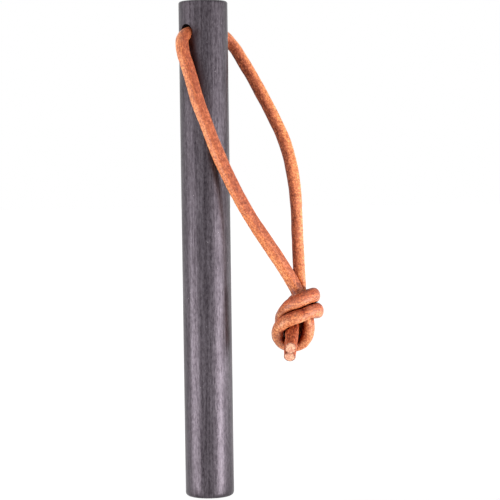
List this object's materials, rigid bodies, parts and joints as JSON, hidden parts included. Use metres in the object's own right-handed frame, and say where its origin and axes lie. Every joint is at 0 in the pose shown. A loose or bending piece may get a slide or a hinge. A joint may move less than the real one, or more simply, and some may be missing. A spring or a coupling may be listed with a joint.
{
  "type": "ferro rod fire starter",
  "caption": "Round fire-steel rod with broken edges and a cross hole near its top, threaded with a round leather lace that is tied in a doubled overhand knot.",
  "frame": {"origin": "centre of the rod's flat bottom face", "axes": "+Z along the rod's axis, up to the drilled end; +X towards the side on which the lace hangs; -Y towards the front, where the lace crosses the rod's face"},
  "size_m": [0.0375, 0.0187, 0.127],
  "materials": {
    "fire_steel": "drawn and satin, with fine streaks along the rod",
    "lace_leather": "smooth waxed orange tan with darker mottling",
    "cut_leather": "matte fibrous cut end"
  },
  "bodies": {
    "rod": {"ferro_rod": "fire_steel"},
    "lanyard": {"lace_bore_run": "lace_leather", "front_strand": "lace_leather", "rear_strand": "lace_leather", "knot_front_lace": "lace_leather", "knot_rear_lace": "lace_leather", "front_tail": "cut_leather", "rear_tail": "cut_leather"}
  },
  "joints": [
    {"name": "lanyard_swing", "type": "hinge", "parent": "rod", "child": "lanyard", "pos_m": [0, 0, 0.119], "axis": [-0.7071, -0.7071, 0], "range_deg": [0, 325]}
  ]
}
